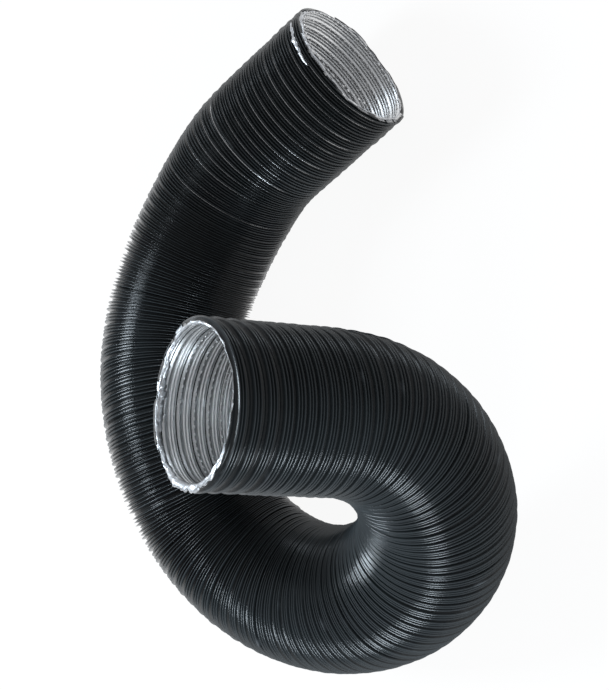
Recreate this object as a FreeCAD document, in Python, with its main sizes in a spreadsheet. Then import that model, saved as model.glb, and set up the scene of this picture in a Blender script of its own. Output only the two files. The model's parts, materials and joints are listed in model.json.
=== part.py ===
"""Flexible air duct: a corrugated aluminium duct, bent by hand into an open loop that lies on the floor.

The real duct is one strip, corrugated and wound into a helix whose turns lock together along a folded
seam. Here each turn of the strip is one ridge, and each seam is the foot of the groove beside it. The
strip is split at its seams into groups of turns, which can tilt against each other as the seams let them.

The route starts at the near mouth. Each leg bends in one plane, so every facet of the duct is flat: a
turn's flanks lie between parallel rings of two radii, and its top between two tilted rings of one radius.
"""
import FreeCAD, Part
import Sketcher
import math
import os

Vector = FreeCAD.Vector
Rotation = FreeCAD.Rotation
Placement = FreeCAD.Placement

ALONG = Vector(1, 0, 0)
UP = Vector(0, 0, 1)

# Driving sizes: millimetres, degrees and counts
SIZES = (
    ("bore_radius", 40.0, "inside of the duct, which slips over an 80 mm spigot"),
    ("wall", 0.8, "foil and its fold at the foot of a ridge"),
    ("ridge_height", 2.6, "from the foot of a ridge to its crest"),
    ("turn_pitch", 6.5, "one turn of the strip, along the duct"),
    ("seam_width", 2.7, "groove over the lock seam between two ridges"),
    ("ring_sides", 17, "flats round one ring"),
    ("near_mouth_turns", 12, "turns in the straight end behind the near mouth"),
    ("far_mouth_turns", 11, "turns in the straight end behind the far mouth"),
    ("bend_turns", 7, "turns in a group that keeps its bend"),
    ("flex_turns", 4, "turns between two groups, where the seams work"),
    ("edge_length", 3.0, "bare cut edge beyond the last turn"),
    ("edge_lip", 1.8, "how far the cut edge is spread outwards"),
    ("foot_depth", 0.5, "how far the ridges are pressed flat where the duct stands"),
    ("start_yaw", -99.0, "heading of the duct at the near mouth"),
    ("start_pitch", 67.0, "slope of the duct at the near mouth"),
    ("start_roll", -98.0, "turn of the duct about itself at the near mouth"),
    ("floor_side", 800.0, "side of the floor slab that presses the ridges, wider than the duct"),
)

# Each leg of the route: how far it bends, and the direction that it bends in, both in degrees
LEGS = (
    (42, 24),
    (40, 56),
    (40, 82),
    (40, 101),
    (43, 99),
    (27, 173),
    (33, 105),
    (23, 87),
    (13, 137),
)

# The loop and the far end stand on the floor: these stretches of the duct, as shares of its length
FEET = ((0.36, 0.52), (0.92, 1.00))
# Rolls that the duct settles in, each smaller than the one before
ROLLING_PASSES = 120


def add_sheet(doc):
    """Keep the driving sizes in a spreadsheet, one aliased cell each."""
    sheet = doc.addObject("Spreadsheet::Sheet", "Sizes")
    rows = list(SIZES)
    for number, (bend, direction) in enumerate(LEGS, 1):
        rows.append((f"leg_{number}_bend", bend, "how far this leg bends"))
        rows.append((f"leg_{number}_direction", direction, "direction of its bend"))
    for row, (alias, value, note) in enumerate(rows, 1):
        sheet.set(f"A{row}", note)
        sheet.set(f"B{row}", str(value))
        sheet.setAlias(f"B{row}", alias)
    doc.recompute()
    return sheet


class Route:
    """The duct's way through space, as a frame that is carried along it with its X axis forward."""

    def __init__(self, sheet):
        self.sheet = sheet
        self.flank = sheet.seam_width / 2
        self.top = sheet.turn_pitch - sheet.seam_width
        self.groups = self.make_groups()
        self.turns = [turn for group in self.groups for turn in group["turns"]]
        self.base = self.standing()

    def make_groups(self):
        """Walk from mouth to mouth: every group of turns with the frame that each turn starts at."""
        sheet = self.sheet
        frame = Placement()
        groups = []

        def add(name, count, bend, direction):
            nonlocal frame
            turns = []
            for _ in range(int(count)):
                turn = self.walk_turn(frame, bend, direction)
                turns.append(turn)
                frame = turn["end"]
            groups.append({"name": name, "turns": turns, "direction": direction})

        add("near_mouth_turns", sheet.near_mouth_turns, 0, 0)
        for number in range(1, len(LEGS) + 1):
            direction = sheet.get(f"leg_{number}_direction")
            last = number == len(LEGS)
            bending = sheet.flex_turns if last else sheet.flex_turns + sheet.bend_turns
            bend = sheet.get(f"leg_{number}_bend") / bending
            add(f"flex_{number}_turns", sheet.flex_turns, bend, direction)
            if last:
                add("far_mouth_turns", sheet.far_mouth_turns, 0, 0)
            else:
                add(f"bend_{number}_turns", sheet.bend_turns, bend, direction)
        return groups

    def advance(self, frame, length, bend=0.0, direction=0.0):
        """Move a frame along an arc: half of the bend, the chord, the other half of the bend."""
        angle = math.radians(direction)
        axis = Vector(0, math.cos(angle), math.sin(angle))
        half = Placement(Vector(), Rotation(axis, bend / 2))
        return frame * half * Placement(ALONG * length, Rotation()) * half

    def walk_turn(self, frame, bend, direction):
        """One turn of the strip: up out of its seam, along the top, which takes the bend, and down."""
        near = self.advance(frame, self.flank)
        far = self.advance(near, self.top, bend, direction)
        return {"start": frame, "near": near, "far": far, "end": self.advance(far, self.flank)}

    def crest_corners(self):
        """The corners of the two crest rings of every turn, turn by turn, in the route's own frame."""
        radius = self.sheet.bore_radius + self.sheet.wall + self.sheet.ridge_height
        sides = self.sheet.ring_sides
        return [ring(turn["near"], radius, sides) + ring(turn["far"], radius, sides) for turn in self.turns]

    def standing(self):
        """How the duct stands: its weight over the line between its two feet, its box over the origin."""
        sheet = self.sheet
        corners = self.crest_corners()
        count = len(corners)
        feet = []
        for low, high in FEET:
            feet.append([c for r in corners[int(low * count):round(high * count)] for c in r])
        centre = sum((turn["near"].Base + turn["far"].Base for turn in self.turns), Vector()) / (2 * count)
        attitude = Rotation(sheet.start_yaw, sheet.start_pitch, sheet.start_roll)
        for number in range(ROLLING_PASSES):
            loop, end = (min((attitude.multVec(c) for c in foot), key=lambda c: c.z) for foot in feet)
            line = end - loop
            level = Vector(line.x, line.y, 0).normalize()
            tilt = math.degrees(math.asin(line.z / line.Length))
            weight = attitude.multVec(centre) - loop
            aside = weight.dot(UP.cross(level))
            # About the line, towards the side that the weight hangs over
            roll = math.degrees(math.atan2(aside, weight.z)) / (number + 2)
            attitude = Rotation(level, -roll) * Rotation(UP.cross(level), tilt) * attitude
        box = FreeCAD.BoundBox()
        for corner in (c for r in corners for c in r):
            box.add(attitude.multVec(corner))
        shift = Vector(-box.Center.x, -box.Center.y, -box.ZMin - sheet.foot_depth)
        return Placement(shift, attitude)

    def least_gap(self):
        """The least gap between ridges that aren't neighbours, from crest to crest."""
        reach = int(math.pi * self.sheet.bore_radius / self.sheet.turn_pitch)
        corners = self.crest_corners()
        gap = math.inf
        for first, ring_a in enumerate(corners):
            for ring_b in corners[first + reach:]:
                for corner in ring_a:
                    gap = min(gap, min(corner.distanceToPoint(other) for other in ring_b))
        return gap


def ring(frame, radius, sides):
    """The corners of a ring across the duct, whose flats touch the circle of that radius."""
    sides = int(sides)
    reach = radius / math.cos(math.pi / sides)
    angles = [2 * math.pi * k / sides for k in range(sides)]
    return [frame.multVec(Vector(0, reach * math.cos(a), reach * math.sin(a))) for a in angles]


def band(ring_a, ring_b):
    """The flat facets from one ring to the next."""
    facets = []
    for k, corner in enumerate(ring_a):
        after = (k + 1) % len(ring_a)
        outline = Part.makePolygon([corner, ring_a[after], ring_b[after], ring_b[k], corner])
        facets.append(Part.Face(outline))
    return facets


def closed(corners):
    """The closed outline through a ring's corners."""
    return Part.makePolygon(corners + corners[:1])


def ridge_rings(turns, local, sheet):
    """Every outer ring of a group: the foot of a seam, then both crest rings and the far foot of each turn."""
    foot = sheet.bore_radius + sheet.wall
    crest = foot + sheet.ridge_height
    rings = [ring(local(turns[0]["start"]), foot, sheet.ring_sides)]
    for turn in turns:
        for name, radius in (("near", crest), ("far", crest), ("end", foot)):
            rings.append(ring(local(turn[name]), radius, sheet.ring_sides))
    return rings


def solid_of(faces):
    """One closed solid from faces that meet edge to edge."""
    shell = Part.Shell(faces)
    shell.sewShape()
    solid = Part.Solid(shell)
    if solid.Volume < 0:
        solid.reverse()
    return solid


def add_turns(doc, sheet, group, base, bored):
    """A group of turns as a ribbed tube, or as a ribbed bar where a round bore is cut into it later."""
    turns = group["turns"]
    start = turns[0]["start"]
    to_local = start.inverse()

    def local(frame):
        return to_local * frame

    outer = ridge_rings(turns, local, sheet)
    faces = [face for a, b in zip(outer, outer[1:]) for face in band(a, b)]
    ends = (closed(outer[0]), closed(outer[-1]))
    if bored:
        frames = [start] + [turn["end"] for turn in turns]
        bore = [ring(local(frame), sheet.bore_radius, sheet.ring_sides) for frame in frames]
        faces += [face for a, b in zip(bore, bore[1:]) for face in band(a, b)]
        for outline, hole in zip(ends, (closed(bore[0]), closed(bore[-1]))):
            faces.append(Part.makeFace([outline, hole], "Part::FaceMakerBullseye"))
    else:
        faces += [Part.Face(outline) for outline in ends]
    turned = doc.addObject("Part::Feature", group["name"])
    turned.Shape = solid_of(faces)
    turned.Placement = base * start
    return turned


def cut(doc, name, body, tool):
    """One piece less another."""
    result = doc.addObject("Part::Cut", name)
    result.Base = body
    result.Tool = tool
    return result


def add_mouth_turns(doc, sheet, group, base):
    """The straight turns behind a mouth, with their round bore."""
    name = group["name"]
    bar = add_turns(doc, sheet, group, base, bored=False)
    bar.Label = name + "_bar"
    bore = doc.addObject("Part::Cylinder", name + "_bore")
    bore.setExpression("Radius", "Sizes.bore_radius")
    bore.setExpression("Height", f"Sizes.{name} * Sizes.turn_pitch")
    bore.Placement = base * group["turns"][0]["start"] * Placement(Vector(), Rotation(UP, ALONG))
    return cut(doc, name + "_bored", bar, bore)


def add_cut_edge(doc, sheet, name, placement):
    """The bare edge of the foil at a mouth: a short collar whose outside spreads to a lip."""
    body = doc.addObject("PartDesign::Body", name)
    sketch = body.newObject("Sketcher::SketchObject", name + "_profile")
    plane = next(f for f in body.Origin.OriginFeatures if f.Role == "XY_Plane")
    sketch.AttachmentSupport = [(plane, "")]
    sketch.MapMode = "FlatFace"
    inner = sheet.bore_radius
    collar = inner + sheet.wall
    lip = collar + sheet.edge_lip
    end = sheet.edge_length
    corners = [Vector(0, inner), Vector(end, inner), Vector(end, lip), Vector(0, collar)]
    for a, b in zip(corners, corners[1:] + corners[:1]):
        sketch.addGeometry(Part.LineSegment(a, b))
    count = len(corners)
    for k in range(count):
        sketch.addConstraint(Sketcher.Constraint("Coincident", k, 2, (k + 1) % count, 1))
    sketch.addConstraint(Sketcher.Constraint("Horizontal", 0))
    sketch.addConstraint(Sketcher.Constraint("Vertical", 1))
    sketch.addConstraint(Sketcher.Constraint("Vertical", 3))
    sketch.addConstraint(Sketcher.Constraint("PointOnObject", 0, 1, -2))
    bound = (
        (("DistanceX", 0, 1, 0, 2, end), "Sizes.edge_length"),
        (("DistanceY", -1, 1, 0, 1, inner), "Sizes.bore_radius"),
        (("DistanceY", 3, 2, 3, 1, sheet.wall), "Sizes.wall"),
        (("DistanceY", 1, 1, 1, 2, lip - inner), "Sizes.wall + Sizes.edge_lip"),
    )
    for terms, expression in bound:
        index = sketch.addConstraint(Sketcher.Constraint(*terms))
        sketch.setExpression(f"Constraints[{index}]", expression)
    collar_ring = body.newObject("PartDesign::Revolution", name + "_ring")
    collar_ring.Profile = sketch
    collar_ring.ReferenceAxis = (sketch, ["H_Axis"])
    collar_ring.Angle = 360
    sketch.Visibility = False
    body.Placement = placement
    return body


def add_floor(doc):
    """The floor under the duct, as a slab that presses its lowest ridges flat."""
    slab = doc.addObject("Part::Box", "floor")
    slab.setExpression("Length", "Sizes.floor_side")
    slab.setExpression("Width", "Sizes.floor_side")
    slab.setExpression("Height", "Sizes.floor_side / 2")
    for axis in ("x", "y", "z"):
        slab.setExpression(f"Placement.Base.{axis}", "-Sizes.floor_side / 2")
    return slab


def pressed(doc, floor, name, body):
    """The piece under its final name, cut flat where it reaches below the floor."""
    if body.Shape.BoundBox.ZMin < 0:
        body.Label = name + "_round"
        body = cut(doc, name + "_pressed", body, floor)
    body.Label = name
    return body


def build(doc):
    """Make every piece of the duct and return them in order along it."""
    sheet = add_sheet(doc)
    route = Route(sheet)
    floor = add_floor(doc)
    start = route.base * route.groups[0]["turns"][0]["start"]
    end = route.base * route.groups[-1]["turns"][-1]["end"]
    # The near edge faces back along the route
    back = Placement(Vector(), Rotation(UP, 180))
    pieces = [("near_cut_edge", add_cut_edge(doc, sheet, "near_edge_ring", start * back))]
    for group in route.groups:
        name = group["name"]
        if name in ("near_mouth_turns", "far_mouth_turns"):
            pieces.append((name, add_mouth_turns(doc, sheet, group, route.base)))
        else:
            pieces.append((name, add_turns(doc, sheet, group, route.base, bored=True)))
    pieces.append(("far_cut_edge", add_cut_edge(doc, sheet, "far_edge_ring", end)))
    doc.recompute()
    made = [pressed(doc, floor, name, body) for name, body in pieces]
    doc.recompute()
    length = len(route.turns) * sheet.turn_pitch
    print(f"turns {len(route.turns)}, length {length:.0f} mm, least gap to itself {route.least_gap():.1f} mm")
    return made


def check(doc, pieces):
    """Stop if any object failed or any piece isn't one valid solid."""
    for item in doc.Objects:
        if {"Invalid", "Error"} & set(item.State):
            raise RuntimeError(f"{item.Name} failed: {item.State}")
    for piece in pieces:
        shape = piece.Shape
        if shape.isNull() or not shape.isValid() or len(shape.Solids) != 1:
            raise RuntimeError(f"{piece.Label} isn't one valid solid")


def main():
    doc = FreeCAD.newDocument("air_duct")
    pieces = build(doc)
    check(doc, pieces)
    os.makedirs("parts", exist_ok=True)
    for piece in pieces:
        piece.Shape.exportStep(f"parts/{piece.Label}.step")
        box = piece.Shape.BoundBox
        print(f"{piece.Label}: {piece.Shape.Volume:.0f} mm3, lowest {box.ZMin:.2f} mm")


if __name__ == "__main__":
    main()
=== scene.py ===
"""Flexible air duct: the looks of a black corrugated aluminium duct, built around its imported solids.

The real duct is one thin strip, bare inside and lacquered black outside, that carries three sharp ribs and is
wound into a helix whose turns lock together along a seam. The skin here is that strip: the same helix from
cut edge to cut edge, on the route of the solids, with its ribs, its seams and its crimps as geometry.
"""
import json
import logging
import math
from dataclasses import dataclass
from enum import Enum

import bpy
import numpy as np
from mathutils import Matrix, Vector


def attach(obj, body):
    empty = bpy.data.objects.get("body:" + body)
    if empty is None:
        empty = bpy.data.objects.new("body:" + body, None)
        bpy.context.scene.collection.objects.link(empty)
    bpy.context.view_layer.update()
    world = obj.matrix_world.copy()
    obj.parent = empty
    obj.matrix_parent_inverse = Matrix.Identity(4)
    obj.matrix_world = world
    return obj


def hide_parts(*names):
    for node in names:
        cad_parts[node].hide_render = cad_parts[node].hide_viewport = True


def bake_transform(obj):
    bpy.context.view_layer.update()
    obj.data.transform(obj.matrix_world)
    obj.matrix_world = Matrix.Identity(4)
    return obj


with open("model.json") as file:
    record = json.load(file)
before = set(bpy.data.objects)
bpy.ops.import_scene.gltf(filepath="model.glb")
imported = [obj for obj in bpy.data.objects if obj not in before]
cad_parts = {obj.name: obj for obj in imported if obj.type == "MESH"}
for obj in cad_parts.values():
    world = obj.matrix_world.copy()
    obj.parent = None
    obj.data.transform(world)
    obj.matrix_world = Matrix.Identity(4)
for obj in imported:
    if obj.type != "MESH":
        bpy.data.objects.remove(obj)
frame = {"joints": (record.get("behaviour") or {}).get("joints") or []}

LOG = logging.getLogger("air_duct")

# Types that many signatures share
Triple = tuple[float, float, float]
Colour = tuple[float, float, float]
Pairs = tuple[tuple[float, float], ...]
Socket = bpy.types.NodeSocket

# Millimetres to metres
MM = 0.001
FULL_TURN = 2 * math.pi

# Each leg of the route: how far it bends, and the direction that it bends in, both in degrees
LEGS = (
    (42, 24),
    (40, 56),
    (40, 82),
    (40, 101),
    (43, 99),
    (27, 173),
    (33, 105),
    (23, 87),
    (13, 137),
)


class Mouth(Enum):
    """The two open ends of the duct."""

    NEAR = "near"
    FAR = "far"


# Each thing that is drawn at random has its own seed
TURN_SEED = 7
LIP_SEEDS = {Mouth.NEAR: 8, Mouth.FAR: 9}
CRIMP_SEED = 10


@dataclass(frozen=True)
class RouteSizes:
    """The solids' turns along the route, in millimetres and counts."""

    turn_pitch: float = 6.5
    seam_width: float = 2.7
    near_mouth_turns: int = 12
    far_mouth_turns: int = 11
    bend_turns: int = 7
    flex_turns: int = 4
    edge_length: float = 3.0

    @property
    def leg_turns(self) -> int:
        """Turns from one flexing group to the next."""
        return self.flex_turns + self.bend_turns


@dataclass(frozen=True)
class StripSizes:
    """The wound strip, in millimetres, in counts, and in shares of a turn or of a rib's height."""

    pitch: float = 6.5
    foot_radius: float = 40.5
    rib_height: float = 3.2
    foil: float = 0.3
    ribs: int = 3
    # How much more the rib beside the seam rises
    tall_rib: float = 0.08
    # How wide the seam is, and how much of the painted highlight of the crests outside, and of the painted
    # shade of the slots inside, it takes
    seam_share: float = 0.17
    seam_shade: float = 0.35
    # The turns behind the near mouth stand further apart
    open_turns: int = 4
    open_stretch: float = 0.32
    # Points round one turn, of the outer skin and of the inner one
    columns: int = 112
    inner_columns: int = 48
    floor_gap: float = 0.02


@dataclass(frozen=True)
class Unevenness:
    """How far the turns stray from an even winding.

    The spread and its limits are shares of a turn, and a rib's rise is a share of its height. A turn with a
    rise of 1 stands out by `sway` millimetres.
    """

    turn_spread: float = 0.05
    closest: float = -0.06
    widest: float = 0.12
    turn_rise: float = 0.08
    rib_rise: float = 0.05
    sway: float = 0.6


@dataclass(frozen=True)
class SeamGive:
    """How the seams and ribs answer a bend.

    A stretch of 1 doubles the wall's length. For it, a seam opens by `opening` of a turn, between
    `narrowest` and `widest`, and a rib loses `flattening` of its height, down to `least_height`. The seam's
    own band loses `open_flattening` of its height for each whole turn that the seam is drawn open by.
    """

    opening: float = 0.12
    narrowest: float = 0.04
    widest: float = 0.5
    flattening: float = 0.25
    least_height: float = 0.6
    open_flattening: float = 4.0


class Route:
    """The duct's centreline with the directions across it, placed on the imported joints."""

    def __init__(self, sizes: RouteSizes, joints: list[dict]) -> None:
        """Walk the legs and lay the walk onto the frame.

        Args:
            sizes: the turns that the route is made of.
            joints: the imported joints, whose pivots lie on the route.
        """
        self.sizes = sizes
        self.stations, pivots = self.walk()
        self.lay_on(pivots, joints)
        self.length = sizes.turn_pitch * (len(self.stations) - 1)
        self.bends = self.find_bends()

    def advance(self, place: Matrix, length: float, bend: float = 0.0, direction: float = 0.0) -> Matrix:
        """Move a frame along an arc.

        Args:
            place: the frame to move, its X axis forward.
            length: chord of the arc, in millimetres.
            bend: angle of the arc, in degrees.
            direction: direction that it bends in, in degrees.

        Returns:
            The frame at the arc's end.
        """
        angle = math.radians(direction)
        axis = Vector((0, math.cos(angle), math.sin(angle)))
        half = Matrix.Rotation(math.radians(bend / 2), 4, axis)
        return place @ half @ Matrix.Translation((length, 0, 0)) @ half

    def walk(self) -> tuple[list[Matrix], list[Vector]]:
        """Walk from mouth to mouth.

        Returns:
            The frame at every turn's start and at the end, and the pivot in every flexing group.
        """
        sizes = self.sizes
        flank = sizes.seam_width / 2
        top = sizes.turn_pitch - sizes.seam_width
        stations = [Matrix.Identity(4)]
        pivots = []

        def add_turns(count: int, bend: float = 0.0, direction: float = 0.0) -> None:
            """Add turns that share a bend: up a flank, along the top that takes the bend, down a flank.

            Args:
                count: how many turns.
                bend: angle that they bend by in all, in degrees.
                direction: direction that they bend in, in degrees.
            """
            for _ in range(count):
                near = self.advance(stations[-1], flank)
                far = self.advance(near, top, bend / count, direction)
                stations.append(self.advance(far, flank))

        add_turns(sizes.near_mouth_turns)
        for number, (bend, direction) in enumerate(LEGS, 1):
            pivots.append(len(stations) - 1 + sizes.flex_turns // 2)
            add_turns(sizes.flex_turns if number == len(LEGS) else sizes.leg_turns, bend, direction)
        add_turns(sizes.far_mouth_turns)
        return stations, [stations[number].translation for number in pivots]

    def lay_on(self, pivots: list[Vector], joints: list[dict]) -> None:
        """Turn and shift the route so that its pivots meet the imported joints.

        Args:
            pivots: the route's own pivots, in order.
            joints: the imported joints, in the same order by name.
        """
        ordered = sorted(joints, key=lambda joint: joint["name"])
        target = np.array([joint["pos_m"] for joint in ordered]) / MM
        source = np.array([list(p) for p in pivots])
        centre, goal = source.mean(0), target.mean(0)
        left, _, right = np.linalg.svd((source - centre).T @ (target - goal))
        flip = np.diag([1, 1, np.sign(np.linalg.det(right.T @ left.T))])
        turn = right.T @ flip @ left.T
        lay = Matrix.Translation(goal) @ Matrix(turn.tolist()).to_4x4() @ Matrix.Translation(-centre)
        self.stations = [lay @ station for station in self.stations]
        self.points = np.array([list(s.translation) for s in self.stations])
        self.axes = np.array([[list(s.col[k])[:3] for k in range(3)] for s in self.stations])

    def find_bends(self) -> np.ndarray:
        """How sharply the route bends, evened out over five stations.

        Returns:
            The curvature at every station, as a vector towards the bend's centre.
        """
        forward = np.pad(self.axes[:, 0], ((3, 3), (0, 0)), mode="edge")
        rate = (forward[2:] - forward[:-2]) / (2 * self.sizes.turn_pitch)
        return (rate[:-4] + rate[1:-3] + rate[2:-2] + rate[3:-1] + rate[4:]) / 5

    def at(self, along: np.ndarray) -> tuple[np.ndarray, np.ndarray, np.ndarray]:
        """Places on the route.

        Args:
            along: distances from the route's start, in millimetres.

        Returns:
            Points, the three axes there (forward and the two across) and the curvature there.
        """
        pitch = self.sizes.turn_pitch
        share = along / pitch
        low = np.clip(np.floor(share).astype(int), 0, len(self.points) - 2)
        part = (share - low)[..., None]
        inside = np.clip(part, 0, 1)
        start, end = self.points[low], self.points[low + 1]
        leaving, arriving = self.axes[low, 0] * pitch, self.axes[low + 1, 0] * pitch
        # A cubic curve between two stations, and straight on beyond the ends
        square, cube = inside ** 2, inside ** 3
        points = (2 * cube - 3 * square + 1) * start + (cube - 2 * square + inside) * leaving
        points += (3 * square - 2 * cube) * end + (cube - square) * arriving
        points += np.minimum(part, 0) * leaving + np.maximum(part - 1, 0) * arriving
        blend = inside[..., None]
        axes = self.axes[low] * (1 - blend) + self.axes[low + 1] * blend
        axes /= np.linalg.norm(axes, axis=-1, keepdims=True)
        bends = self.bends[low] * (1 - inside) + self.bends[low + 1] * inside
        return points, axes, bends


def straight_out(angle: np.ndarray, axes: np.ndarray) -> np.ndarray:
    """Directions straight out from the centreline.

    Args:
        angle: angle round the duct, in radians, of every place or of every column of places.
        axes: the three axes at every place.

    Returns:
        The direction at every place.
    """
    turned = angle[..., None]
    return np.cos(turned) * axes[..., 1, :] + np.sin(turned) * axes[..., 2, :]


@dataclass(frozen=True)
class RowProfile:
    """The strip's section over one turn: where its rows lie and how high they stand."""

    rib: Pairs
    seam: Pairs

    def rows(self, ribs: int) -> int:
        """How many rows one turn has."""
        return ribs * len(self.rib) + len(self.seam)


# Along a rib or seam as a share of it, and height as a share of the rib's
OUTER_ROWS = RowProfile(
    rib=((0.0, 0.0), (0.35, 0.66), (0.5, 1.0), (0.65, 0.66)),
    seam=((0.0, 0.0), (0.3, 0.3), (0.55, 0.42), (0.8, 0.05)),
)
INNER_ROWS = RowProfile(
    rib=((0.0, 0.0), (0.33, 0.03), (0.5, 0.9), (0.67, 0.03)),
    seam=((0.0, 0.3), (0.35, -0.15), (0.5, -0.2), (0.65, -0.15)),
)
PLAIN_INNER_ROWS = RowProfile(
    rib=((0.0, -0.05),),
    seam=((0.5, -0.1),),
)


@dataclass(frozen=True)
class Scuffs:
    """Short streaks of wear along the crests, where waves that don't repeat add up past a threshold."""

    # Rate and shift of each wave: short streaks, and the patches that they come in
    streaks: Pairs = ((9.7, 3), (5.3, 1), (14.9, 5))
    patches: Pairs = ((0.61, 1), (1.37, 2))
    rib_shift: float = 2.4
    streak_share: float = 0.35
    patch_share: float = 0.3
    # Extra wear on the rib beside the seam, partly a painted highlight along that rib
    edge_rib_wear_and_highlight: float = 0.2
    threshold: float = 1.3


@dataclass(frozen=True)
class RaggedCut:
    """A hand cut: how far it is drawn in, and its waves as height, rate and shift."""

    phase: float
    drawn_in: float
    waves: tuple[Triple, ...] = ((0.45, 3, 1), (0.3, 7, 2), (0.2, 17, 1), (0.12, 31, 0))


CUTS = {
    Mouth.NEAR: RaggedCut(phase=0.4, drawn_in=2.6),
    Mouth.FAR: RaggedCut(phase=2.1, drawn_in=3.2),
}


@dataclass
class Strip:
    """The wound strip: turns a place on the helix into a point in space."""

    route: Route
    sizes: StripSizes = StripSizes()
    uneven: Unevenness = Unevenness()
    give: SeamGive = SeamGive()
    scuffs: Scuffs = Scuffs()
    # Turns kept past each end, so that a place beyond a cut can be found too
    spare_turns: int = 2

    def __post_init__(self) -> None:
        """Draw the small unevenness of each turn."""
        sizes, uneven = self.sizes, self.uneven
        self.start = -self.route.sizes.edge_length
        self.end = self.route.length + self.route.sizes.edge_length
        self.turns = math.ceil((self.end - self.start) / sizes.pitch)
        draw = np.random.default_rng(TURN_SEED)
        stretch = np.clip(draw.normal(0, uneven.turn_spread, self.turns), uneven.closest, uneven.widest)
        stretch[:sizes.open_turns] += sizes.open_stretch
        spacing = 1 + stretch
        spacing *= (self.end - self.start) / spacing.sum()
        spacing = np.pad(spacing, self.spare_turns, mode="edge")
        self.marks = self.start + np.cumsum(spacing) - spacing[:self.spare_turns].sum()
        self.seams = 1 - (1 - sizes.seam_share) * sizes.pitch / spacing
        self.turn_rise = draw.normal(0, uneven.turn_rise, len(spacing))
        self.rib_rise = draw.normal(0, uneven.rib_rise, (len(spacing), sizes.ribs))
        self.rib_rise[:, 0] += sizes.tall_rib

    def place(self, turn: np.ndarray) -> np.ndarray:
        """Where the strip has got to after a number of turns, in millimetres along the duct."""
        return np.interp(turn + self.spare_turns - 1, np.arange(len(self.marks)), self.marks)

    def wear(self, wound: np.ndarray, rib: np.ndarray) -> np.ndarray:
        """How scuffed the crests are, from 0 to 1, in short streaks along each rib; the rib beside the seam
        gets extra, partly as a painted highlight.

        Args:
            wound: angle along the whole helix, in radians.
            rib: number of the rib on the strip.

        Returns:
            The wear at each place.
        """
        scuffs = self.scuffs
        phase = scuffs.rib_shift * rib
        streaks = sum(np.sin(rate * wound + shift * phase) for rate, shift in scuffs.streaks)
        patches = sum(np.sin(rate * wound + shift * phase) for rate, shift in scuffs.patches)
        # The rib beside the seam gets extra wear, partly a painted highlight
        edge_rib_wear_and_highlight = np.where(rib == 0, scuffs.edge_rib_wear_and_highlight, 0.0)
        worn = scuffs.streak_share * streaks + scuffs.patch_share * patches + edge_rib_wear_and_highlight
        return np.clip(worn - scuffs.threshold, 0, 1)

    def cut(self, angle: np.ndarray, mouth: Mouth) -> np.ndarray:
        """How far the ragged cut strays along the duct, in millimetres.

        Args:
            angle: angle round the duct, in radians.
            mouth: which end.

        Returns:
            The stray at each angle, always inwards.
        """
        cut = CUTS[mouth]
        wave = sum(high * np.sin(rate * angle + shift * cut.phase) for high, rate, shift in cut.waves)
        return cut.drawn_in + wave

    def point_rows(self, profile: RowProfile, first: int, last: int, columns: int,
                   inner: bool) -> tuple[np.ndarray, np.ndarray, dict[str, np.ndarray]]:
        """The skin's points from one turn of the strip to another.

        Args:
            profile: rows over one turn.
            first: first turn of the strip.
            last: turn after the last one.
            columns: points round one turn.
            inner: whether it is the bare side.

        Returns:
            Points by row and column in millimetres, whether each was drawn in to a cut, and at each of
            them the rib's height and its wear, from 0 to 1.
        """
        sizes = self.sizes
        give = self.give
        per_turn = profile.rows(sizes.ribs)
        row = np.arange((last - first) * per_turn + 1)
        turn = first + row // per_turn
        step = row % per_turn
        in_rib = step < sizes.ribs * len(profile.rib)
        rib = np.minimum(step // len(profile.rib), sizes.ribs - 1)
        rib_part = np.array([part for part, _ in profile.rib])[step % len(profile.rib)]
        rib_level = np.array([level for _, level in profile.rib])[step % len(profile.rib)]
        seam_step = np.maximum(step - sizes.ribs * len(profile.rib), 0)
        seam_part = np.array([part for part, _ in profile.seam])[seam_step]
        seam_level = np.array([level for _, level in profile.seam])[seam_step]
        angle = FULL_TURN * np.arange(columns + 1) / columns
        share = (angle / FULL_TURN)[None]
        wound = turn[:, None] + share
        kept = turn + self.spare_turns

        def drawn(values: np.ndarray) -> np.ndarray:
            """A drawn value of each turn, evened out along the helix."""
            return values[kept][:, None] * (1 - share) + values[kept + 1][:, None] * share

        # The seam opens on the outside of a bend and closes on the inside
        _, axes, bends = self.route.at(self.place(wound + 0.5))
        stretch = -(bends * straight_out(angle, axes)).sum(-1) * sizes.foot_radius
        seam = np.clip(drawn(self.seams) + give.opening * stretch, give.narrowest, give.widest)
        ribs_along = (rib[:, None] + rib_part[:, None]) / sizes.ribs * (1 - seam)
        seams_along = 1 - seam + seam_part[:, None] * seam
        along = self.place(wound + np.where(in_rib[:, None], ribs_along, seams_along))

        # Whatever lies beyond a cut is drawn in to it
        low = self.start + self.cut(angle, Mouth.NEAR)[None]
        high = self.end - self.cut(angle, Mouth.FAR)[None]
        beyond = (along <= low) | (along >= high)
        along = np.clip(along, low, high)

        this_rise = self.rib_rise[kept, rib][:, None]
        next_rise = self.rib_rise[kept + 1, rib][:, None]
        rib_rise = this_rise * (1 - share) + next_rise * share
        # A seam that is drawn open lies flat
        flat = 1 if inner else np.clip(1 - give.open_flattening * (seam - sizes.seam_share), 0, 1)
        height = np.where(in_rib[:, None], rib_level[:, None] * (1 + rib_rise), seam_level[:, None] * flat)
        wear = np.where(in_rib[:, None], rib_level[:, None] * self.wear(FULL_TURN * wound, rib[:, None]), 0)
        height = height * np.clip(1 - give.flattening * np.abs(stretch), give.least_height, 1)
        radius = sizes.foot_radius + sizes.rib_height * height + self.uneven.sway * drawn(self.turn_rise)
        if inner:
            radius = radius - sizes.foil
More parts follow.
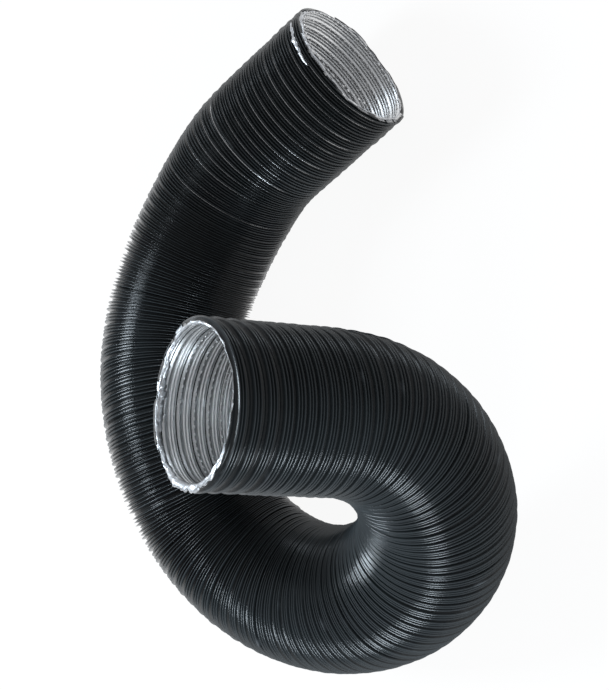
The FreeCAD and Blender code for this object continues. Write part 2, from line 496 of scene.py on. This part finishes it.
        # The rib's height, and seam_shade on the seams: the lacquer turns it into a painted highlight on the
        # crests, the foil into painted shade in the slots
        crest = np.where(in_rib[:, None], height, sizes.seam_shade)
        points, axes, _ = self.route.at(along)
        points = points + radius[..., None] * straight_out(angle, axes)
        points[..., 2] = np.maximum(points[..., 2], sizes.foil if inner else sizes.floor_gap)
        return points, beyond, {"crest": crest, "wear": wear}


def mesh_piece(name: str, points: np.ndarray, faces: list[tuple[int, ...]] | np.ndarray,
               finish: bpy.types.Material) -> bpy.types.Object:
    """Make a smooth mesh object.

    Args:
        name: the piece's name.
        points: its points, in millimetres.
        faces: the point numbers of each face.
        finish: its material.

    Returns:
        The new object, linked to the scene.
    """
    mesh = bpy.data.meshes.new(name)
    mesh.from_pydata((points * MM).tolist(), [], [tuple(int(i) for i in face) for face in faces])
    mesh.validate()
    mesh.materials.append(finish)
    mesh.polygons.foreach_set("use_smooth", [True] * len(mesh.polygons))
    mesh.update()
    piece = bpy.data.objects.new(name, mesh)
    bpy.context.scene.collection.objects.link(piece)
    return piece


@dataclass
class Skin:
    """Both sides of the strip as one piece for each joint, from the middle of a group to the next one's."""

    strip: Strip
    joints: list[dict]
    # How far from a joint a piece's bending range reaches, in turns, and what stays rigid past a piece's end,
    # in millimetres; the range is worked out but not applied
    reach_turns: float = 3.7
    rigid_end: float = 0.2

    def __post_init__(self) -> None:
        """Find where the pieces meet."""
        strip = self.strip
        self.joints = sorted(self.joints, key=lambda joint: joint["name"])
        sizes = strip.route.sizes
        leg = sizes.leg_turns * sizes.turn_pitch
        first_bend = (sizes.near_mouth_turns + sizes.flex_turns + sizes.bend_turns / 2) * sizes.turn_pitch
        # The strip starts one turn early, because the cut runs across a whole turn of the helix
        self.meets = [-1]
        for number in range(len(self.joints) - 1):
            middle = first_bend + number * leg
            self.meets.append(int(np.searchsorted(strip.marks, middle)) - strip.spare_turns)
        self.meets.append(strip.turns)

    def build(self, number: int, profile: RowProfile, columns: int, inner: bool, name: str,
              finish: bpy.types.Material) -> bpy.types.Object:
        """Make one side of the strip around one joint.

        Args:
            number: the joint's number, from 1.
            profile: rows over one turn of the strip.
            columns: points round one turn.
            inner: whether it is the bare side.
            name: the piece's name.
            finish: its material.

        Returns:
            The piece, with its placement baked into its mesh.
        """
        first, last = self.meets[number - 1], self.meets[number]
        points, beyond, marks = self.strip.point_rows(profile, first, last, columns, inner)
        rows = points.shape[0]
        per_turn = profile.rows(self.strip.sizes.ribs)
        ids = np.arange(rows * (columns + 1)).reshape(rows, columns + 1)
        # The last column of a row is the first column of the row one turn on
        ids[:-per_turn, columns] = ids[per_turn:, 0]
        quads = np.stack([ids[:-1, :-1], ids[:-1, 1:], ids[1:, 1:], ids[1:, :-1]], -1).reshape(-1, 4)
        if inner:
            quads = quads[:, ::-1]
        gone = beyond.reshape(-1)
        quads = quads[~gone[quads].all(1)]
        used, compact = np.unique(quads, return_inverse=True)
        piece = mesh_piece(name, points.reshape(-1, 3)[used], compact.reshape(-1, 4), finish)
        for mark, values in marks.items():
            attribute = piece.data.attributes.new(mark, "FLOAT", "POINT")
            attribute.data.foreach_set("value", np.clip(values.reshape(-1)[used], 0, 1).astype(np.float32))
        ends = (first > 0, last < self.strip.turns)
        self.bend(piece, number, points, ends)
        return piece

    def bend(self, piece: bpy.types.Object, number: int, points: np.ndarray, ends: tuple[bool, bool]) -> None:
        """Work out how far a piece would bend round its joint, with both of its ends rigid, and bake its
        placement into its mesh; the range is not applied.

        Args:
            piece: the piece.
            number: the joint's number, from 1.
            points: its points by row and column, in millimetres.
            ends: whether it meets another piece at its start and at its end.
        """
        sizes = self.strip.route.sizes
        turns = sizes.near_mouth_turns + sizes.flex_turns / 2 + (number - 1) * sizes.leg_turns
        middle = turns * sizes.turn_pitch
        centre, axes, _ = self.strip.route.at(np.array([middle]))
        centre, forward = centre[0], axes[0, 0]
        high = sizes.turn_pitch * self.reach_turns
        low = -high
        if ends[0]:
            low = max(low, ((points[0] - centre) @ forward).max() + self.rigid_end)
        if ends[1]:
            high = min(high, ((points[-1] - centre) @ forward).min() - self.rigid_end)
        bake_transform(piece)


class Shader:
    """A material's node tree, with short ways to add to it."""

    def __init__(self, name: str) -> None:
        """Start a material with a plain surface shader.

        Args:
            name: the material's name.
        """
        self.material = bpy.data.materials.new(name)
        self.material.use_nodes = True
        self.nodes = self.material.node_tree.nodes
        self.links = self.material.node_tree.links
        self.surface = self.nodes["Principled BSDF"]

    def noise(self, scale: float, detail: float = 3.0, rough: float = 0.55) -> Socket:
        """Noise in the object's own space.

        Args:
            scale: features per metre.
            detail: octaves.
            rough: how strong the fine octaves are.

        Returns:
            The noise value's socket.
        """
        place = self.nodes.new("ShaderNodeTexCoord")
        noise = self.nodes.new("ShaderNodeTexNoise")
        noise.inputs["Scale"].default_value = scale
        noise.inputs["Detail"].default_value = detail
        noise.inputs["Roughness"].default_value = rough
        self.links.new(place.outputs["Object"], noise.inputs["Vector"])
        return noise.outputs["Fac"]

    def ramp(self, value: Socket, low: float, high: float, dark: Colour, light: Colour) -> Socket:
        """A colour from a value.

        Args:
            value: the socket to read.
            low: value at which the colour is dark.
            high: value at which it is light.
            dark: first colour.
            light: second colour.

        Returns:
            The colour's socket.
        """
        ramp = self.nodes.new("ShaderNodeValToRGB")
        ramp.color_ramp.elements[0].position = low
        ramp.color_ramp.elements[0].color = (*dark, 1)
        ramp.color_ramp.elements[1].position = high
        ramp.color_ramp.elements[1].color = (*light, 1)
        self.links.new(value, ramp.inputs["Fac"])
        return ramp.outputs["Color"]

    def spread(self, value: Socket, low: float, high: float) -> Socket:
        """A value from 0 to 1 moved into another range.

        Args:
            value: the socket to read.
            low: result at 0.
            high: result at 1.

        Returns:
            The result's socket.
        """
        spread = self.nodes.new("ShaderNodeMapRange")
        spread.inputs["To Min"].default_value = low
        spread.inputs["To Max"].default_value = high
        self.links.new(value, spread.inputs["Value"])
        return spread.outputs["Result"]

    def mix(self, share: Socket | float, a: Socket | Colour, b: Socket | Colour) -> Socket:
        """Two colours mixed.

        Args:
            share: how much of the second.
            a: first colour.
            b: second colour.

        Returns:
            The mixed colour's socket.
        """
        mix = self.nodes.new("ShaderNodeMix")
        mix.data_type = "RGBA"
        for socket, value in (("Factor", share), ("A", a), ("B", b)):
            target = next(i for i in mix.inputs if i.name == socket
                          and i.type == ("VALUE" if socket == "Factor" else "RGBA"))
            if isinstance(value, Socket):
                self.links.new(value, target)
            else:
                target.default_value = (*value, 1) if socket != "Factor" else value
        return next(o for o in mix.outputs if o.type == "RGBA")

    def attribute(self, name: str) -> Socket:
        """A value that each point of the mesh carries.

        Args:
            name: the value's name.

        Returns:
            The value's socket.
        """
        node = self.nodes.new("ShaderNodeAttribute")
        node.attribute_name = name
        return node.outputs["Fac"]

    def sharpen(self, value: Socket, power: float) -> Socket:
        """A value from 0 to 1 held back until it is near 1.

        Args:
            value: the socket to read.
            power: how strongly it is held back.

        Returns:
            The result's socket.
        """
        node = self.nodes.new("ShaderNodeMath")
        node.operation = "POWER"
        node.inputs[1].default_value = power
        self.links.new(value, node.inputs[0])
        return node.outputs[0]

    def bump(self, value: Socket, depth: float) -> None:
        """Let a value raise the surface.

        Args:
            value: the height, from 0 to 1.
            depth: how far 1 raises it, in metres.
        """
        bump = self.nodes.new("ShaderNodeBump")
        bump.inputs["Distance"].default_value = depth
        self.links.new(value, bump.inputs["Height"])
        self.links.new(bump.outputs["Normal"], self.surface.inputs["Normal"])


@dataclass(frozen=True)
class BlackLacquer:
    """Thin satin black lacquer over the foil, with a painted highlight on every crest, scuffed in short
    streaks on the crests.
    """

    deep: Colour = (0.006, 0.0073, 0.008)
    pale: Colour = (0.012, 0.0145, 0.0158)
    # Painted highlight: the colour that the crests are painted
    crest: Colour = (0.042, 0.049, 0.053)
    worn: Colour = (0.16, 0.175, 0.19)
    rough: tuple[float, float] = (0.14, 0.23)
    gloss: float = 0.3
    crest_sharpness: float = 3.0
    grain_depth: float = 0.00008

    def material(self) -> bpy.types.Material:
        """Make the material.

        Returns:
            The new material.
        """
        shader = Shader("black_lacquer")
        surface = shader.surface.inputs
        clouds = shader.noise(scale=45, detail=4)
        base = shader.ramp(clouds, low=0.35, high=0.7, dark=self.deep, light=self.pale)
        # The crests are painted lighter towards each rib's top, a painted highlight
        crest = shader.sharpen(shader.attribute("crest"), self.crest_sharpness)
        ribbed = shader.mix(crest, base, self.crest)
        shader.links.new(shader.mix(shader.attribute("wear"), ribbed, self.worn), surface["Base Color"])
        haze = shader.noise(scale=160, detail=5)
        shader.links.new(shader.spread(haze, *self.rough), surface["Roughness"])
        surface["Specular IOR Level"].default_value = self.gloss
        shader.bump(shader.noise(scale=700, detail=4), self.grain_depth)
        return shader.material


@dataclass(frozen=True)
class BareFoil:
    """Bare aluminium foil, rolled bright, with the faint lines and haze of handling, and painted shade in the
    slots behind the ribs and on the seams.
    """

    bright: Colour = (0.95, 0.955, 0.96)
    dull: Colour = (0.82, 0.83, 0.84)
    # Painted shade in the slots behind the ribs and, in part, on the seams
    painted_slot_shade: Colour = (0.05, 0.054, 0.058)
    rough: tuple[float, float] = (0.24, 0.4)
    metallic: float = 0.9
    grain_depth: float = 0.0001
    name: str = "bare_foil"

    def material(self) -> bpy.types.Material:
        """Make the material.

        Returns:
            The new material.
        """
        shader = Shader(self.name)
        surface = shader.surface.inputs
        clouds = shader.noise(scale=120, detail=5, rough=0.65)
        rolled = shader.ramp(clouds, low=0.36, high=0.62, dark=self.dull, light=self.bright)
        # The slots behind the ribs and the seams are mixed towards the painted shade
        shader.links.new(shader.mix(shader.attribute("crest"), rolled, self.painted_slot_shade), surface["Base Color"])
        haze = shader.noise(scale=300, detail=4)
        shader.links.new(shader.spread(haze, *self.rough), surface["Roughness"])
        surface["Metallic"].default_value = self.metallic
        shader.bump(shader.noise(scale=1500, detail=3), self.grain_depth)
        return shader.material


@dataclass(frozen=True)
class Flap:
    """A crumpled strip of bare foil by a mouth, in degrees round the duct and in millimetres."""

    middle: float
    spread: float
    inwards: float
    width: float
    radius: float
    thick: float = 0.4


# The lips' widths in millimetres, at angles round the duct in degrees
NEAR_LIP_WIDTHS = (
    (0, 0.6),
    (60, 0.9),
    (95, 1.2),
    (110, 0.8),
    (150, 0.1),
    (205, 0.1),
    (228, 2.0),
    (262, 3.3),
    (292, 3.2),
    (308, 2.0),
    (325, 0.7),
)
FAR_LIP_WIDTHS = (
    (0, 0.4),
    (35, 1.0),
    (55, 0.7),
    (90, 0.4),
    (200, 0.4),
    (235, 1.0),
    (272, 1.5),
    (305, 1.1),
    (330, 0.6),
)
NEAR_FLAPS = (
    Flap(middle=4, spread=56, inwards=1.9, width=3.8, radius=39.7),
    Flap(middle=42, spread=22, inwards=1.0, width=1.8, radius=39.5),
    Flap(middle=330, spread=36, inwards=1.0, width=2.2, radius=39.8),
    Flap(middle=78, spread=30, inwards=0.2, width=1.1, radius=40.8),
    Flap(middle=286, spread=30, inwards=0.1, width=1.6, radius=42.2, thick=1.2),
    Flap(middle=246, spread=34, inwards=0.2, width=1.5, radius=41.8, thick=1.0),
)
FAR_FLAPS = (
    Flap(middle=274, spread=52, inwards=5.4, width=2.4, radius=43.7),
    Flap(middle=284, spread=40, inwards=0.6, width=1.7, radius=41.4, thick=0.8),
    Flap(middle=28, spread=34, inwards=0.8, width=1.3, radius=41.2),
)


# The lip runs from inside the mouth, round the cut and back over the outside: along it, and out from it
LIP_SECTION = (
    (1.6, -0.1),
    (0.5, -0.3),
    (-0.5, 0.0),
    (-0.9, 0.3),
    (-0.7, 0.65),
    (-0.3, 0.9),
    (0.5, 1.0),
    (0.6, 0.8),
    (0.2, 0.5),
    (0.9, 0.25),
)
# A flap is a flat bar of six sides: across it, and up
FLAP_SECTION = ((-1, -0.5), (0, -1), (1, -0.5), (1, 0.5), (0, 1), (-1, 0.5))


@dataclass(frozen=True)
class Crumple:
    """How crumpled bare foil is: its width as a share, then along the duct and out from it in millimetres."""

    ripple: float
    jag_along: float
    jag_out: float


@dataclass
class CutEdge:
    """The raw cut of the foil at a mouth: a crumpled bright lip, with flaps where it is torn or folded."""

    strip: Strip
    mouth: Mouth
    # The lip's width in millimetres, at angles round the duct in degrees
    widths: Pairs
    flaps: tuple[Flap, ...]
    columns: int = 288
    lip_crumple: Crumple = Crumple(ripple=0.2, jag_along=0.3, jag_out=0.1)
    flap_crumple: Crumple = Crumple(ripple=0.3, jag_along=0.2, jag_out=0.35)
    # Slow waves round the lip, in one round of the duct, and how much each weakens from the one before
    slow_waves: tuple[int, ...] = (5, 14, 31)
    slow_fade: float = 0.5
    # Each drawn value takes this share of both its neighbours, and the sum is scaled back
    neighbour_share: float = 0.7
    crumple_scale: float = 1.9
    # Along the duct, the lip is its section's own size where it is this wide, and in proportion elsewhere
    full_width: float = 1.6
    depth_limits: tuple[float, float] = (0.1, 1.1)
    # How far the lip reaches in past the foil's inner face
    sunk: float = 0.15
    # A flap thins out to this share at its tips
    tip: float = 0.03
    taper_power: float = 0.6
    fewest_columns: int = 12

    def __post_init__(self) -> None:
        """Start this mouth's own random draws."""
        self.draw = np.random.default_rng(LIP_SEEDS[self.mouth])

    def crumple(self, count: int) -> np.ndarray:
        """A crumpled line of unevenness, about 1 high.

        Args:
            count: how many values it has.

        Returns:
            The values.
        """
        rough = self.draw.normal(0, 1, count)
        neighbours = np.roll(rough, 1) + np.roll(rough, -1)
        return (rough + self.neighbour_share * neighbours) / self.crumple_scale

    def points_at(self, angle: np.ndarray, inwards: np.ndarray, radius: np.ndarray) -> np.ndarray:
        """Points by the cut.

        Args:
            angle: angle round the duct, in radians.
            inwards: how far inwards from the cut, in millimetres.
            radius: how far from the centreline, in millimetres.

        Returns:
            The points, in millimetres.
        """
        cut = self.strip.cut(angle, self.mouth) + inwards
        along = self.strip.start + cut if self.mouth is Mouth.NEAR else self.strip.end - cut
        points, axes, _ = self.strip.route.at(along)
        return points + radius[:, None] * straight_out(angle, axes)

    def lip(self) -> tuple[np.ndarray, np.ndarray]:
        """The crumpled lip, all round the cut.

        Returns:
            The lip's points, row by row, and its faces.
        """
        foil = self.lip_crumple
        angle = FULL_TURN * np.arange(self.columns) / self.columns
        degrees, sizes = zip(*self.widths)
        width = np.interp(np.degrees(angle), degrees, sizes, period=360)
        slow = 0
        for number, rate in enumerate(self.slow_waves):
            wave = np.sin(rate * angle + self.draw.uniform(0, FULL_TURN))
            slow = slow + self.slow_fade ** number * wave
        width = width * (1 + foil.ripple * slow + foil.ripple * self.crumple(self.columns))
        inner = self.strip.sizes.foot_radius - self.strip.sizes.foil - self.sunk
        depth = np.clip(width / self.full_width, *self.depth_limits)
        rows = []
        for inwards, outwards in LIP_SECTION:
            inset = (inwards + foil.jag_along * self.crumple(self.columns)) * depth
            radius = inner + width * outwards + foil.jag_out * self.crumple(self.columns)
            rows.append(self.points_at(angle, inset, radius))
        ids = np.arange(len(rows) * self.columns).reshape(len(rows), self.columns)
        around = np.roll(ids, -1, axis=1)
        below, below_around = np.roll(ids, -1, axis=0), np.roll(around, -1, axis=0)
        faces = np.stack([ids, around, below_around, below], -1).reshape(-1, 4)
        return np.concatenate(rows), faces

    def flap(self, flap: Flap) -> tuple[np.ndarray, np.ndarray]:
        """One flap, as a flat bar that thins out to both ends.

        Args:
            flap: its place and size.

        Returns:
            The flap's points, row by row, and its faces.
        """
        foil = self.flap_crumple
        count = max(self.fewest_columns, int(flap.spread))
        share = np.linspace(-1, 1, count)
        angle = np.radians(flap.middle + share * flap.spread / 2)
        taper = self.tip + (1 - self.tip) * (1 - share ** 2) ** self.taper_power
        half = flap.width / 2 * taper * (1 + foil.ripple * self.crumple(count))
        rise = foil.jag_out * self.crumple(count) * taper
        rows = []
        for side, level in FLAP_SECTION:
            inset = flap.inwards + side * half + foil.jag_along * self.crumple(count) * taper
            rows.append(self.points_at(angle, inset, flap.radius + rise + level * flap.thick / 2 * taper))
        ids = np.arange(len(rows) * count).reshape(len(rows), count)
        below = np.roll(ids, -1, axis=0)
        sides = np.stack([ids[:, :-1], ids[:, 1:], below[:, 1:], below[:, :-1]], -1).reshape(-1, 4)
        # The six-sided tips are closed with two faces each
        first_tip = [ids[[0, 1, 2, 3], 0], ids[[0, 3, 4, 5], 0]]
        last_tip = [ids[[3, 2, 1, 0], -1], ids[[5, 4, 3, 0], -1]]
        return np.concatenate(rows), np.concatenate([sides, first_tip, last_tip])

    def build(self, finish: bpy.types.Material) -> bpy.types.Object:
        """Make the lip and its flaps as one piece.

        Args:
            finish: its material.

        Returns:
            The piece.
        """
        points, faces = self.lip()
        for flap in self.flaps:
            more, sides = self.flap(flap)
            faces = np.concatenate([faces, sides + len(points)])
            points = np.concatenate([points, more])
        if self.mouth is Mouth.FAR:
            faces = faces[:, ::-1]
        return mesh_piece(f"{self.mouth.value}_cut_lip", points, faces, finish)


@dataclass(frozen=True)
class SeamCrimps:
    """The row of small pressed dots along the lock seam, where it shows inside a mouth."""

    strip: Strip
    mouth: Mouth
    # Turns of the seam that carry dots, and the dots on each
    turns: int = 9
    per_turn: int = 60
    sides: int = 6
    # Half sizes along the duct and round it, in millimetres, and the least and most swell
    half_sizes: tuple[float, float] = (0.62, 1.15)
    swell: tuple[float, float] = (0.7, 1.15)
    # Each ring's spread and how far it rises inwards, in millimetres; the last ring is the tip
    rings: Pairs = ((1.0, 0.0), (0.8, 0.5), (0.0, 0.75))
    # How deep the seam lies, as a share of a rib's height, and how far a dot is sunk into it
    seam_depth: float = 0.2
    sunk: float = 0.1

    def build(self, finish: bpy.types.Material) -> bpy.types.Object:
        """Make the dots.

        Args:
            finish: their material.

        Returns:
            The piece.
        """
        strip, sizes = self.strip, self.strip.sizes
        first = 1 if self.mouth is Mouth.NEAR else strip.turns - 1 - self.turns
        dots = self.turns * self.per_turn
        turn = first + np.arange(dots) / self.per_turn
        angle = FULL_TURN * (turn % 1)
        seam = np.interp(turn + strip.spare_turns, np.arange(len(strip.seams)), strip.seams)
        centre, axes, _ = strip.route.at(strip.place(turn + 1 - seam / 2))
        forward = axes[:, 0]
        across = straight_out(angle, axes)
        around = -np.sin(angle)[:, None] * axes[:, 1] + np.cos(angle)[:, None] * axes[:, 2]
        radius = sizes.foot_radius - sizes.foil - self.seam_depth * sizes.rib_height + self.sunk
        seat = centre + radius * across
        swell = np.random.default_rng(CRIMP_SEED).uniform(*self.swell, dots)[:, None]
        half_length, half_width = self.half_sizes
        rows = []
        for spread, rise in self.rings:
            for k in range(self.sides if spread else 1):
                turned = FULL_TURN * k / self.sides
                offset = math.cos(turned) * half_length * spread * forward
                offset = offset + math.sin(turned) * half_width * spread * around
                rows.append(seat + swell * (offset - rise * across))
        return mesh_piece(f"{self.mouth.value}_seam_crimps", np.concatenate(rows), self.faces(dots), finish)

    def faces(self, dots: int) -> list[tuple[int, ...]]:
        """The faces of all dots: flanks between the rings, a cap up to each tip, and a flat bottom.

        Args:
            dots: how many dots there are.

        Returns:
            The point numbers of each face.
        """
        sides = self.sides
        base = np.arange(dots)

        def at(ring: int, k: int) -> np.ndarray:
            """Numbers of one point in every dot."""
            return (ring * sides + k % sides) * dots + base

        tip = at(2, 0)
        flanks = [np.stack([at(0, k), at(1, k), at(1, k + 1), at(0, k + 1)], -1) for k in range(sides)]
        caps = [np.stack([at(1, k), tip, at(1, k + 1)], -1) for k in range(sides)]
        bottom = [np.stack([at(0, k) for k in range(sides)], -1)]
        return [tuple(face) for group in flanks + caps + bottom for face in group]


@dataclass(frozen=True)
class Lamp:
    """A soft square lamp, in metres and watts."""

    name: str
    place: Triple
    size: float
    power: float
    colour: Colour = (0.8, 0.91, 1.0)


@dataclass(frozen=True)
class Studio:
    """The plain pale floor, the soft lamps and the camera at the photograph's viewing angle, in metres."""

    camera_place: Triple = (-0.0004, -0.6733, 1.0195)
    # In degrees
    camera_turn: Triple = (0.727, 35.233, -88.477)
    # The lens and the photograph's height in pixels, and the sensor in millimetres
    focal_pixels: float = 2000.0
    image_height: float = 690.0
    sensor: float = 36.0
    # The lamps look here
    aim: Triple = (0, 0, 0.12)
    floor_reach: float = 6.0
    floor_dull: Colour = (0.9, 0.9, 0.9)
    floor_pale: Colour = (0.93, 0.93, 0.93)
    floor_rough: float = 0.8
    floor_glow: float = 0.93
    surround: Colour = (0.95, 0.97, 1)
    surround_strength: float = 0.45
    lamps: tuple[Lamp, ...] = (
        Lamp(name="window_lamp", place=(-1.49, -0.48, 0.72), size=0.6, power=24),
        Lamp(name="back_lamp", place=(0.0, 1.3, 1.25), size=0.6, power=32),
        Lamp(name="low_lamp", place=(1.6, 0.1, 0.3), size=0.5, power=3),
    )

    def build(self) -> None:
        """Set up the whole studio."""
        self.add_floor()
        self.add_world()
        for lamp in self.lamps:
            self.add_lamp(lamp)
        self.add_camera()
        bpy.context.scene.view_settings.view_transform = "Standard"

    def whiten(self, shader: Shader) -> None:
        """Let the camera and gloss see the floor mostly as even white, with its shadows softened.

        Args:
            shader: the floor's shader.
        """
        path = shader.nodes.new("ShaderNodeLightPath")
        seen = shader.nodes.new("ShaderNodeMath")
        seen.operation = "MULTIPLY"
        seen.inputs[1].default_value = self.floor_glow
        either = shader.nodes.new("ShaderNodeMath")
        either.operation = "MAXIMUM"
        shader.links.new(path.outputs["Is Camera Ray"], either.inputs[0])
        shader.links.new(path.outputs["Is Glossy Ray"], either.inputs[1])
        shader.links.new(either.outputs[0], seen.inputs[0])
        glow = shader.nodes.new("ShaderNodeEmission")
        mix = shader.nodes.new("ShaderNodeMixShader")
        shader.links.new(seen.outputs[0], mix.inputs[0])
        shader.links.new(shader.surface.outputs[0], mix.inputs[1])
        shader.links.new(glow.outputs[0], mix.inputs[2])
        shader.links.new(mix.outputs[0], shader.nodes["Material Output"].inputs["Surface"])

    def add_floor(self) -> None:
        """A wide pale floor under the duct."""
        mesh = bpy.data.meshes.new("floor")
        reach = self.floor_reach
        corners = [(-reach, -reach, 0), (reach, -reach, 0), (reach, reach, 0), (-reach, reach, 0)]
        mesh.from_pydata(corners, [], [(0, 1, 2, 3)])
        floor = bpy.data.objects.new("floor", mesh)
        bpy.context.scene.collection.objects.link(floor)
        shader = Shader("pale_floor")
        clouds = shader.noise(scale=3, detail=2)
        colour = shader.ramp(clouds, low=0.3, high=0.7, dark=self.floor_dull, light=self.floor_pale)
        shader.links.new(colour, shader.surface.inputs["Base Color"])
        shader.surface.inputs["Roughness"].default_value = self.floor_rough
        self.whiten(shader)
        mesh.materials.append(shader.material)

    def add_world(self) -> None:
        """An even pale surround."""
        world = bpy.data.worlds.new("surround")
        world.use_nodes = True
        background = world.node_tree.nodes["Background"]
        background.inputs["Color"].default_value = (*self.surround, 1)
        background.inputs["Strength"].default_value = self.surround_strength
        bpy.context.scene.world = world

    def add_lamp(self, lamp: Lamp) -> None:
        """Hang one lamp, turned to the duct.

        Args:
            lamp: its place, size and power.
        """
        light = bpy.data.lights.new(lamp.name, "AREA")
        light.size = lamp.size
        light.energy = lamp.power
        light.color = lamp.colour
        hung = bpy.data.objects.new(lamp.name, light)
        hung.location = lamp.place
        aim = Vector(self.aim) - Vector(lamp.place)
        hung.rotation_euler = aim.to_track_quat("-Z", "Y").to_euler()
        bpy.context.scene.collection.objects.link(hung)

    def add_camera(self) -> None:
        """The camera, where the photograph was taken from."""
        data = bpy.data.cameras.new("camera")
        data.sensor_width = self.sensor
        data.lens = self.focal_pixels * self.sensor / self.image_height
        camera = bpy.data.objects.new("camera", data)
        camera.location = self.camera_place
        camera.rotation_euler = [math.radians(turn) for turn in self.camera_turn]
        bpy.context.scene.collection.objects.link(camera)
        bpy.context.scene.camera = camera


class AirDuct:
    """The whole duct."""

    def __init__(self, joints: list[dict]) -> None:
        """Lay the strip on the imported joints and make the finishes.

        Args:
            joints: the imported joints.
        """
        self.strip = Strip(Route(RouteSizes(), joints))
        self.skin = Skin(self.strip, joints)
        self.lacquer = BlackLacquer().material()
        self.foil = BareFoil().material()
        self.cut_foil = BareFoil(
            bright=(0.66, 0.67, 0.69),
            dull=(0.42, 0.43, 0.45),
            rough=(0.28, 0.5),
            name="cut_foil",
        ).material()
        # The crimps get a brighter copy of the foil, as a painted highlight
        self.crimp_highlight_foil = BareFoil(
            bright=(0.97, 0.97, 0.97),
            dull=(0.92, 0.92, 0.92),
            rough=(0.3, 0.45),
            name="crimp_highlight_foil",
        ).material()

    def build_skin(self) -> None:
        """Both sides of the strip, joint by joint."""
        count = len(LEGS)
        sizes = self.strip.sizes
        for number in range(1, count + 1):
            name = f"outer_skin_{number}"
            outer = self.skin.build(number, OUTER_ROWS, sizes.columns, False, name, self.lacquer)
            nodes = [f"flex_{number}_turns"]
            nodes += [f"bend_{k}_turns" for k in (number - 1, number) if 1 <= k < count]
            if number == 1:
                nodes.append("near_mouth_turns")
            if number == count:
                nodes.append("far_mouth_turns")
            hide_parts(*nodes)
            LOG.info("%s: %d faces", outer.name, len(outer.data.polygons))
            at_mouth = number in (1, count)
            profile = INNER_ROWS if at_mouth else PLAIN_INNER_ROWS
            columns = sizes.columns if at_mouth else sizes.inner_columns
            bore = self.skin.build(number, profile, columns, True, f"inner_skin_{number}", self.foil)
            LOG.info("%s: %d faces", bore.name, len(bore.data.polygons))

    def build_mouths(self) -> None:
        """The cut edges and the crimps of both mouths."""
        near_lip = CutEdge(self.strip, Mouth.NEAR, NEAR_LIP_WIDTHS, NEAR_FLAPS)
        far_lip = CutEdge(self.strip, Mouth.FAR, FAR_LIP_WIDTHS, FAR_FLAPS)
        for lip in (near_lip, far_lip):
            body = f"{lip.mouth.value}_mouth"
            piece = lip.build(self.cut_foil)
            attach(piece, body)
            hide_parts(f"{lip.mouth.value}_cut_edge")
            # The crimps take the brighter foil, a painted highlight
            crimps = SeamCrimps(self.strip, lip.mouth).build(self.crimp_highlight_foil)
            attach(crimps, body)
            LOG.info("%s and %s", piece.name, crimps.name)


def main() -> None:
    """Build the duct in order, then the studio."""
    logging.basicConfig(level=logging.INFO, format="%(message)s")
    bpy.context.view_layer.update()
    duct = AirDuct(frame["joints"])
    duct.build_skin()
    duct.build_mouths()
    Studio().build()


if __name__ == "__main__":
    main()
